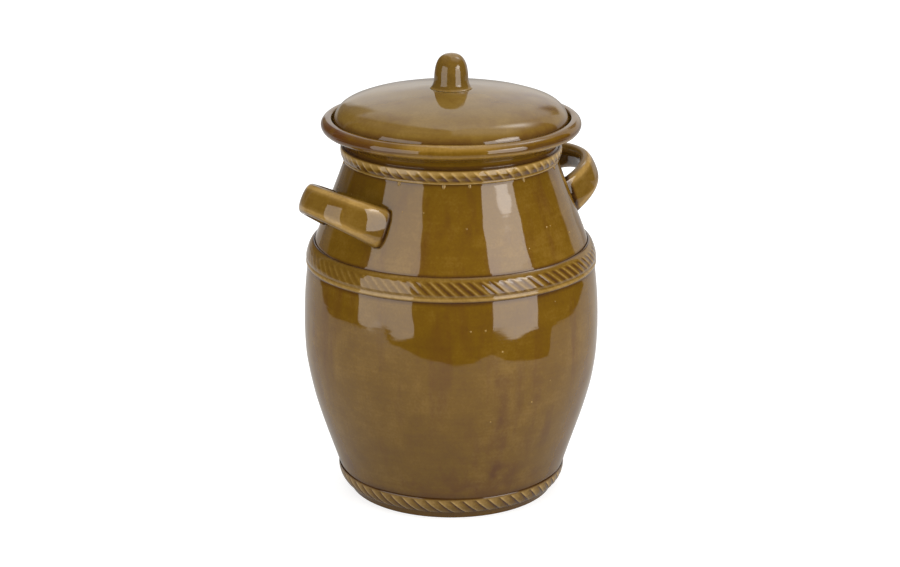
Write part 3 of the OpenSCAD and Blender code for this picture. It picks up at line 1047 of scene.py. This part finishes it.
@dataclass
class Lid:
    """The domed lid with its knob and the locating ring under it, sizes in millimetres."""

    crock: CrockBody
    lid_r: float = 94.2
    rise: float = 34
    shoulder: float = 17
    thick: float = 7.5
    edge_w: float = 9
    edge_round: float = 1.6
    side_h: float = 1.5
    land_rise: float = 10.5
    land_margin: float = 2
    land_slope: float = 5
    ring_drop: float = 12
    ring_t: float = 6
    ring_gap: float = 1.5
    knob_r: float = 13.75
    knob_base_r: float = 17
    knob_h: float = 25.5
    knob_edge: float = 0.6
    flare_h: float = 9
    flare_corner: float = 2.5
    taper: float = 0.6
    nose_turn: float = 6
    nose_share: float = 0.66
    # How far the dome's middle sank, how far its shoulder stands over the true arc, and where it does so most
    sink: float = 2.4
    fullness: float = 0.5
    full_r: float = 78
    # How far the glaze pooled on the standing face and at the edge, how much paler the knob's base and the dome round
    # it are painted, as thin glaze and painted light in their crease, and how far the glaze thinned on the knob's
    # nose
    seat_pool: float = 0.25
    edge_pool: float = 0.3
    base_thin_and_painted_light: float = 0.2
    nose_thin: float = 0.1
    dome_steps: int = 192
    knob_steps: int = 96
    ring_steps: int = 144
    # Clouds of iron on the dome
    runs: tuple[IronRun, ...] = (
        IronRun(80, 316, 334, 26, 0.55), IronRun(48, 310, 324, 18, 0.35), IronRun(-40, 308, 318, 20, 0.3),
        IronRun(-150, 312, 330, 26, 0.5),
    )

    def __post_init__(self) -> None:
        """Works out the dome's arc, the ring's place and the knob's seat."""
        self.seat_z = self.crock.seat_z
        self.top_z = self.seat_z + self.rise
        side_z = self.seat_z + self.edge_round + self.side_h
        run = self.lid_r - self.shoulder
        drop = self.top_z - side_z - self.shoulder
        self.dome_r = self.shoulder + (run * run + drop * drop) / (2 * drop)
        self.dome_centre = at(0, self.top_z - self.dome_r)
        self.shoulder_centre = at(run, side_z)
        reach = self.shoulder_centre - self.dome_centre
        self.dome_turn = math.degrees(math.atan2(reach.y, reach.x))
        self.ring_r = self.crock.bore_r - self.ring_gap
        self.land_z = self.seat_z + self.land_rise
        arc_z = self.dome_centre.y + math.sqrt(self.dome_r ** 2 - self.knob_base_r ** 2)
        self.knob_z = arc_z - self.sink
        self.knob_top = arc_z + self.knob_h

    def build(self) -> None:
        """Makes the dome, the knob and the ring."""
        self.build_dome()
        self.build_knob()
        self.build_ring()

    def build_dome(self) -> None:
        """Spins the dome, glazed outside and inside."""
        edge, seat_z = self.edge_round, self.seat_z
        under_r = self.dome_r - self.thick
        land_in = self.ring_r - self.ring_t - self.land_margin
        under_turn = math.degrees(math.acos((land_in - self.land_slope) / under_r))
        seat_turn = math.degrees(math.acos(self.knob_base_r / self.dome_r))
        foot_in = self.lid_r - self.edge_w
        dome = joined(
            arc(self.shoulder_centre, self.shoulder, 0, self.dome_turn, 18),
            arc(self.dome_centre, self.dome_r, self.dome_turn, seat_turn, 36),
        )
        path = joined(
            [at(0, self.top_z - self.thick)],
            arc(self.dome_centre, under_r, 90, under_turn, 12)[1:],
            [at(land_in, self.land_z), at(self.ring_r + self.land_margin, self.land_z)],
            [at(foot_in, seat_z + edge), at(foot_in + edge, seat_z)],
            arc(at(self.lid_r - edge, seat_z + edge), edge, -90, 0, 5),
            [p + at(0, self.slump(p.x)) for p in dome],
            [at(self.knob_base_r - 1, self.knob_z), at(0, self.knob_z)],
        )

        def glaze(_: int, p: Vector) -> float:
            """Gives the glaze's thickness, pooled towards the edge and painted paler round the knob, as thin glaze
            and painted light in its crease.
            """
            if p.y < seat_z + 0.1:
                return PLAIN + self.seat_pool
            pooled = self.edge_pool * ease(-3, -0.5, p.x - self.lid_r)
            # Round the knob the dome is painted paler, as thin glaze and painted light in the crease at the knob's
            # base
            return PLAIN + pooled - self.base_thin_and_painted_light * (1 - ease(0.5, 2, p.x - self.knob_base_r))

        bm, _ = spun(path, self.dome_steps, glaze)
        hand_thrown(bm, depth=0.3, size=50, seed=11.3)
        stain(bm, self.runs)
        finish_piece(bm, "lid_dome_glazed", LID_GLAZE, Body.LID, Slot.LID, "lid_dome")

    def slump(self, radius: float) -> float:
        """Gives how far the dome settled from its true arc at a radius, down in the middle and up at the shoulder."""
        settled = (self.sink + self.fullness) * ease(0, 1, (radius / self.full_r) ** 2) - self.sink
        return settled * ease(self.lid_r, self.full_r, radius)

    def build_knob(self) -> None:
        """Spins the knob, flared at its base and blunt at its nose."""
        top, base = self.knob_top, self.knob_z
        waist = at(self.knob_r, base + self.flare_h)
        path = joined(
            [at(0, base), at(self.knob_base_r - self.knob_edge, base)],
            curve(12, at(self.knob_base_r, base), at(self.knob_r, base + self.flare_corner), waist),
            curve(
                28, waist, at(self.knob_r - self.taper, top - self.nose_turn), at(self.knob_r * self.nose_share, top),
                at(0, top),
            ),
        )

        def glaze(_: int, p: Vector) -> float:
            """Gives the glaze's thickness, painted paler on the base's edge as thin glaze and painted light in its
            crease, and thin on the nose.
            """
            # The knob's base is painted paler, as thin glaze and painted light in its crease
            foot = self.base_thin_and_painted_light * (1 - ease(0.5, 2, p.y - base))
            return PLAIN - foot - self.nose_thin * ease(-4, 0, p.y - top)

        bm, _ = spun(path, self.knob_steps, glaze)
        hand_thrown(bm, depth=0.2, size=14, seed=5.2)
        finish_piece(bm, "lid_knob_glazed", KNOB_GLAZE, Body.LID, Slot.KNOB, "lid_knob")

    def build_ring(self) -> None:
        """Spins the bare locating ring."""
        half = self.ring_t / 2
        low = self.seat_z - self.ring_drop + half
        inner = self.ring_r - self.ring_t
        path = joined(
            curve(5, at(inner, self.land_z), at(inner, low)),
            arc(at(self.ring_r - half, low), half, 180, 360, 14),
            curve(5, at(self.ring_r, low), at(self.ring_r, self.land_z)),
            [at(inner, self.land_z)],
        )
        bm, _ = spun(path, self.ring_steps, lambda i, p: PLAIN)
        finish_piece(bm, "lid_flange_bare", BARE_CLAY, Body.LID, Slot.CLAY, "lid_flange")


@dataclass
class HalfWeight:
    """A half-moon weight with half of the finger hole in its straight side, sizes in millimetres."""

    body: Body
    node: str
    radius: float = 72
    thick: float = 22
    gap: float = 2
    finger_r: float = 17
    edge: float = 4
    floor_z: float = 11
    # Width of the strip of faces round the finger hole
    strip: float = 20
    # The rounding of its other edges, and the angle in degrees from which an edge is rounded
    rounding: float = 1.5
    sharp: float = 50
    steps: int = 72

    def build(self) -> None:
        """Spins half a ring, cuts it back to the gap and rounds its edges."""
        e, low, top = self.edge, self.floor_z, self.floor_z + self.thick
        inner = self.finger_r
        path = joined(
            [at(inner, low), at(inner + self.strip, low)],
            arc(at(self.radius - e, low + e), e, -90, 0, 6),
            arc(at(self.radius - e, top - e), e, 0, 90, 6),
            [at(inner + self.strip, top), at(inner, top), at(inner, low)],
        )
        bm, _ = spun(path, self.steps, lambda i, p: PLAIN, angle=math.pi)
        bmesh.ops.bisect_plane(
            bm, geom=bm.verts[:] + bm.edges[:] + bm.faces[:], plane_co=(0, self.gap / 2 * MM, 0),
            plane_no=(0, 1, 0), clear_inner=True,
        )
        bmesh.ops.holes_fill(bm, edges=[x for x in bm.edges if x.is_boundary], sides=0)
        bmesh.ops.recalc_face_normals(bm, faces=bm.faces)
        corners = [x for x in bm.edges if x.is_manifold and x.calc_face_angle() > math.radians(self.sharp)]
        bmesh.ops.bevel(
            bm, geom=corners, offset=self.rounding * MM, offset_type="OFFSET", affect="EDGES", segments=3,
            profile=0.5, material=-1, clamp_overlap=True,
        )
        if self.body is Body.FRONT:
            bmesh.ops.transform(bm, matrix=Matrix.Rotation(math.pi, 4, "Z"), verts=bm.verts)
        bmesh.ops.recalc_face_normals(bm, faces=bm.faces)
        finish_piece(bm, f"{self.node}_bare", WEIGHT_CLAY, self.body, Slot.WEIGHT, self.node)


@dataclass
class PhotoCamera:
    """The camera, aimed at the crock's axis. Angles in degrees, lengths in metres, the lens in millimetres."""

    elevation: float = 17.58
    distance: float = 1.871
    target_z: float = 0.1706
    lens: float = 92.0
    sensor: float = 36.0
    # How far the picture is moved to the side, as a part of its width
    shift: float = -0.00128

    def place(self) -> None:
        """Makes the camera and looks through it."""
        e = math.radians(self.elevation)
        back = towards(0) * math.cos(e) + UP * math.sin(e)
        data = bpy.data.cameras.new("camera")
        data.lens = self.lens
        data.sensor_width = self.sensor
        data.shift_x = self.shift
        camera = bpy.data.objects.new("camera", data)
        camera.rotation_mode = "QUATERNION"
        camera.location = UP * self.target_z + back * self.distance
        camera.rotation_quaternion = (-back).to_track_quat("-Z", "Y")
        bpy.context.scene.collection.objects.link(camera)
        bpy.context.scene.camera = camera


class LampShape(Enum):
    """The outlines of the lamps."""

    PANEL = "RECTANGLE"
    ROUND = "ELLIPSE"


@dataclass(frozen=True)
class Lamp:
    """An even area light, its bearing in degrees to the right of the camera, lengths in metres."""

    name: str
    bearing: float
    width: float
    # How bright its face is, where 1 is white
    radiance: float
    # Heights of its lower and upper edge, and its distance from the crock's axis
    low: float = 0.0
    high: float = 0.72
    distance: float = 0.87
    shape: LampShape = LampShape.PANEL
    # Whether the gloss shows it
    seen: bool = True
    # The lamps' warm white, in linear light
    warmth: tuple[float, float, float] = (1.05, 1.0, 0.95)

    def hang(self) -> None:
        """Hangs the lamp upright, so that it faces the crock."""
        out = towards(self.bearing)
        self.face(out * self.distance + UP * (self.low + self.high) / 2, out, self.high - self.low)

    def face(self, place: Vector, back: Vector, height: float) -> None:
        """Makes the light.

        Args:
            place: Its middle.
            back: The direction that it faces away from.
            height: Its height.
        """
        data = bpy.data.lights.new(self.name, "AREA")
        data.shape = self.shape.value
        data.size = self.width
        data.size_y = height
        data.energy = self.radiance * math.pi * self.width * height
        data.color = self.warmth
        light = bpy.data.objects.new(self.name, data)
        light.location = place
        light.rotation_mode = "QUATERNION"
        light.rotation_quaternion = (-back).to_track_quat("-Z", "Y")
        light.visible_camera = False
        light.visible_glossy = self.seen
        bpy.context.scene.collection.objects.link(light)


@dataclass
class Studio:
    """A white table in a dark room: softboxes in front and above, a pale backdrop behind, turned to the camera."""

    # Light of the world on matt surfaces
    fill: float = 0.54
    # The floor's half width and grey, its glow as the camera sees it near the crock and far from it, where these
    # two lie, and how much of the glow the gloss sees
    floor_half: float = 8.0
    floor_grey: float = 0.42
    glow: tuple[float, float] = (0.76, 0.95)
    glow_at: tuple[float, float] = (0.15, 0.8)
    gloss_glow: float = 0.14
    # The table that the gloss sees: its front edge, half its width and where the backdrop takes over
    table_front: float = 0.55
    table_half: float = 0.78
    table_back: float = 0.5
    # The corner of the table that the right softbox takes: where its edge starts in front and ends at the side
    corner_front: float = 0.3
    corner_side: tuple[float, float] = (0.5, -0.16)
    # The drape round the table: half its width, its height over the floor and its grey
    drape_half: float = 4.0
    drape_z: float = 0.002
    drape_grey: float = 0.01
    # The room's radius and its own light
    room_r: float = 2.6
    room_dark: float = 0.01
    # The bearing where the dark room ends, and the backdrop's light behind the crock, on its left and its right
    room_bearing: float = 123
    backdrop: float = 0.9
    backdrop_left: float = 0.15
    backdrop_right: float = 0.66
    # The backdrop's light at the horizon and overhead, as parts of its light behind the crock
    horizon: float = 0.4
    overhead: float = 1.5
    # A lamp behind the backdrop's sweep: how far it is to the right, its height past the horizon and its light, and
    # its size to the side and up
    rear_lamp: tuple[float, float, float] = (0.44, 72, 4.2)
    rear_lamp_size: tuple[float, float] = (0.15, 8)
    # Dark gaps in the backdrop: from and to a bearing, and from and to a height, in degrees, and how dark they are
    gaps: tuple[tuple[float, float, float, float], ...] = ((-165, -128, 8, 36), (146, 164, 21, 31))
    gap_depth: float = 0.8
    softboxes: tuple[Lamp, ...] = (
        Lamp("left_softbox", -49, 0.68, 2.35),
        Lamp("right_softbox", 48.5, 0.55, 3.65),
        Lamp("right_softbox_top", 48.5, 0.55, 0.7, low=0.46, distance=0.865),
        Lamp("right_softbox_lamp", 55, 0.39, 3.2, low=0.55, high=0.8, distance=0.86, shape=LampShape.ROUND),
    )
    # A scrim overhead and its height, and a lamp behind the backdrop that lights the crock's back
    scrim: Lamp = Lamp("scrim", 0, 1.6, 2.0, seen=False)
    scrim_z: float = 1.75
    rear_fill: Lamp = Lamp("rear_fill", 180, 1.0, 1.9, low=0.25, high=1.25, distance=1.25, seen=False)

    def build(self) -> None:
        """Makes the world, the floor, the lights and the room that the gloss sees."""
        bpy.context.scene.view_settings.view_transform = "Standard"
        self.build_world()
        self.build_floor()
        for softbox in self.softboxes:
            softbox.hang()
        self.scrim.face(UP * self.scrim_z, UP, self.scrim.width)
        self.rear_fill.hang()
        self.lay_drape()
        self.build_room()

    def build_world(self) -> None:
        """Makes a world that is white to the camera, the gloss and the glass, and softer on matt surfaces."""
        world = bpy.data.worlds.new("white_backdrop")
        world.use_nodes = True
        world.node_tree.nodes.clear()
        add = partial(add_node, world.node_tree)
        path = add("ShaderNodeLightPath").node.outputs
        seen = add("ShaderNodeMath", {0: path["Is Camera Ray"], 1: path["Is Glossy Ray"]}, operation="MAXIMUM")
        seen = add("ShaderNodeMath", {0: seen, 1: path["Is Transmission Ray"]}, operation="MAXIMUM")
        strength = add("ShaderNodeMapRange", {"Value": seen, "To Min": self.fill, "To Max": 1.0})
        light = add("ShaderNodeBackground", {"Color": (1, 1, 1, 1), "Strength": strength})
        add("ShaderNodeOutputWorld", {"Surface": light})
        bpy.context.scene.world = world

    def build_floor(self) -> None:
        """Lays a wide floor, white to the camera, that keeps the crock's shadow."""
        material = empty_material("matt_white_floor")
        add = partial(add_node, material.node_tree)
        path = add("ShaderNodeLightPath").node.outputs
        seen = add(
            "ShaderNodeMath", {0: path["Is Camera Ray"], 1: path["Is Transmission Ray"]}, operation="MAXIMUM"
        )
        # The gloss sees the table itself, with a little of the glow
        seen = add(
            "ShaderNodeMath", {0: path["Is Glossy Ray"], 1: self.gloss_glow, 2: seen}, operation="MULTIPLY_ADD"
        )
        place = add("ShaderNodeTexCoord", out="Object")
        away = add("ShaderNodeVectorMath", {0: place}, out="Value", operation="LENGTH")
        ends = zip(("From Min", "From Max", "To Min", "To Max"), self.glow_at + self.glow)
        glow = add("ShaderNodeMapRange", {"Value": away, **dict(ends)}, interpolation_type="SMOOTHSTEP")
        glow = add("ShaderNodeMath", {0: seen, 1: glow}, operation="MULTIPLY")
        grey = self.floor_grey
        shader = add(
            "ShaderNodeBsdfPrincipled",
            {
                "Base Color": (grey, grey, grey, 1), "Roughness": 1.0, "Specular IOR Level": 0.0,
                "Emission Color": (1, 1, 1, 1), "Emission Strength": glow,
            },
        )
        add("ShaderNodeOutputMaterial", {"Surface": shader})
        material.cycles.emission_sampling = "NONE"
        bm = bmesh.new()
        bmesh.ops.create_grid(bm, x_segments=1, y_segments=1, size=self.floor_half)
        self.stand(bm, "floor", material)

    def lay_drape(self) -> None:
        """Lays a dark drape round the table, for the gloss alone."""
        material = empty_material("black_drape")
        add = partial(add_node, material.node_tree)
        grey = self.drape_grey
        shader = add("ShaderNodeBsdfDiffuse", {"Color": (grey, grey, grey, 1)})
        add("ShaderNodeOutputMaterial", {"Surface": shader})
        bm = bmesh.new()
        bmesh.ops.create_grid(bm, x_segments=1, y_segments=1, size=self.drape_half)
        start = Vector((self.corner_front, -self.table_front, 0))
        stop = Vector((*self.corner_side, 0))
        corner_out = Vector((stop.y - start.y, start.x - stop.x, 0)).normalized()
        cuts = (
            ((-self.table_half, 0, 0), (1, 0, 0)), ((self.table_half, 0, 0), (1, 0, 0)),
            ((0, -self.table_front, 0), (0, 1, 0)), ((0, self.table_back, 0), (0, 1, 0)),
            (stop, (0, 1, 0)), (start, corner_out),
        )
        for place, normal in cuts:
            bmesh.ops.bisect_plane(
                bm, geom=bm.verts[:] + bm.edges[:] + bm.faces[:], plane_co=place, plane_no=normal
            )
        table = []
        for face in bm.faces:
            c = face.calc_center_median()
            in_corner = c.y < stop.y and (c - start).dot(corner_out) > 0
            on_table = abs(c.x) < self.table_half and c.y > -self.table_front and not in_corner
            if on_table or c.y > self.table_back:
                table.append(face)
        bmesh.ops.delete(bm, geom=table, context="FACES")
        bmesh.ops.translate(bm, verts=bm.verts, vec=UP * self.drape_z)
        self.stand(bm, "floor_drape", material, gloss_only=True)

    def room_light(self, bearing: float, height: float) -> float:
        """Gives the light of the room that the gloss sees.

        Args:
            bearing: Degrees to the right of the camera.
            height: Degrees over the horizon.

        Returns:
            Near 0 in the dark room round the camera, and the backdrop's light behind the crock.
        """
        side = abs(bearing)
        behind = ease(-2, 2, side - self.room_bearing)
        flank = self.backdrop_left if bearing < 0 else self.backdrop_right
        behind_light = self.backdrop * mix(self.horizon, 1.0, ease(0, 14, height))
        level = mix(flank, behind_light, ease(140, 168, side))
        for left, right, low, high in self.gaps:
            across = ease(-2, 2, bearing - left) * (1 - ease(-2, 2, bearing - right))
            level *= 1 - self.gap_depth * across * ease(-2, 2, height - low) * (1 - ease(-3, 3, height - high))
        # The backdrop sweeps up and over the crock, and ends softly just in front of it
        e, b = math.radians(height), math.radians(bearing)
        over = math.degrees(math.atan2(math.sin(e), -math.cos(e) * math.cos(b)))
        swept = max(behind, ease(50, 62, over))
        level *= mix(1.0, self.overhead, ease(50, 75, over)) * (1 - ease(95, 125, over))
        aside = math.cos(e) * math.sin(b)
        lamp_aside, lamp_over, lamp = self.rear_lamp
        lamp_w, lamp_h = self.rear_lamp_size
        lamp *= bell((aside - lamp_aside) / lamp_w) * bell((over - lamp_over) / lamp_h)
        return self.room_dark + lamp + swept * level * (1 - ease(0.5, 0.8, abs(aside)) * (1 - behind))

    def build_room(self) -> None:
        """Makes the dome of the room and the backdrop, for the gloss alone."""
        material = empty_material("room_and_backdrop")
        add = partial(add_node, material.node_tree)
        light = add("ShaderNodeAttribute", out="Fac", attribute_name="light")
        shader = add("ShaderNodeEmission", {"Strength": light})
        add("ShaderNodeOutputMaterial", {"Surface": shader})
        material.cycles.emission_sampling = "NONE"
        bm = bmesh.new()
        layer = bm.verts.layers.float.new("light")
        bmesh.ops.create_uvsphere(bm, u_segments=240, v_segments=90, radius=self.room_r)
        # The room ends a little under the floor
        bmesh.ops.delete(bm, geom=[v for v in bm.verts if v.co.z < -0.1], context="VERTS")
        for vert in bm.verts:
            bearing = math.degrees(math.atan2(vert.co.x, -vert.co.y))
            height = math.degrees(math.asin(clamp(vert.co.z / vert.co.length, -1.0)))
            vert[layer] = self.room_light(bearing, height)
        self.stand(bm, "room", material, gloss_only=True)

    def stand(
        self, bm: bmesh.types.BMesh, name: str, material: bpy.types.Material, gloss_only: bool = False
    ) -> None:
        """Puts a piece of the studio in its place.

        Args:
            bm: Its mesh, with the camera on -Y.
            name: Its name.
            material: What it wears.
            gloss_only: Whether all but the gloss miss it.
        """
        bmesh.ops.transform(bm, matrix=Matrix.Rotation(math.radians(FRONT), 4, "Z"), verts=bm.verts)
        mesh = bpy.data.meshes.new(name)
        bm.to_mesh(mesh)
        bm.free()
        mesh.materials.append(material)
        piece = bpy.data.objects.new(name, mesh)
        bpy.context.scene.collection.objects.link(piece)
        if gloss_only:
            piece.visible_camera = False
            piece.visible_diffuse = False
            piece.visible_transmission = False
            piece.visible_volume_scatter = False
            piece.visible_shadow = False


def main() -> None:
    """Builds the camera, the studio and the crock, piece by piece."""
    logging.basicConfig(level=logging.INFO, format="%(name)s: %(message)s")
    PhotoCamera().place()
    Studio().build()
    crock = CrockBody()
    crock.build()
    RopeBand(
        "foot_rope", crock.foot_low, crock.foot_high, strands=58, bulge=2.4, fall=4.5, groove=0.32, crest=0.32,
        hollow=0.8, run=1.5, glaze=0.47, top_thin_and_highlight=0.1, roll=0.06, face_high=1.6, seed=3,
    ).build()
    RopeBand(
        "shoulder_rope", crock.shoulder_low, crock.fillet, strands=88, bulge=2.9, fall=1.6, groove=0.09,
        crest=0.18, hollow=0.4, run=2.7, glaze=0.5, bead_thin_and_highlight=0.26, bead=0.21, roll=0.16, face_low=4.5,
        face_high=1.8, relief=0.35, jump=0.42, soft=0.3, crisp_at=65, seed=5,
    ).build()
    RopeBand(
        "neck_rope", crock.neck_low, crock.neck_high, strands=63, bulge=2.4, fall=1.4, groove=0.17, crest=0.2,
        hollow=0.55, run=1.3, glaze=0.5, top_thin_and_highlight=0.3, bead=0.2, roll=0.08, face_low=2.4, face_high=2.2,
        jump=1 / 6, soft=0.4, crisp_at=20, seed=8,
    ).build()
    GlazeBeads(crock).build()
    StrapHandle(Side.LEFT, crock, rise=-2, tilt=28).build()
    StrapHandle(Side.RIGHT, crock, rise=-3, tilt=28.5, turn=-2, crease=0.3, crease_h=1.6).build()
    Lid(crock).build()
    HalfWeight(Body.FRONT, "front_weight").build()
    HalfWeight(Body.REAR, "rear_weight").build()


if __name__ == "__main__":
    main()
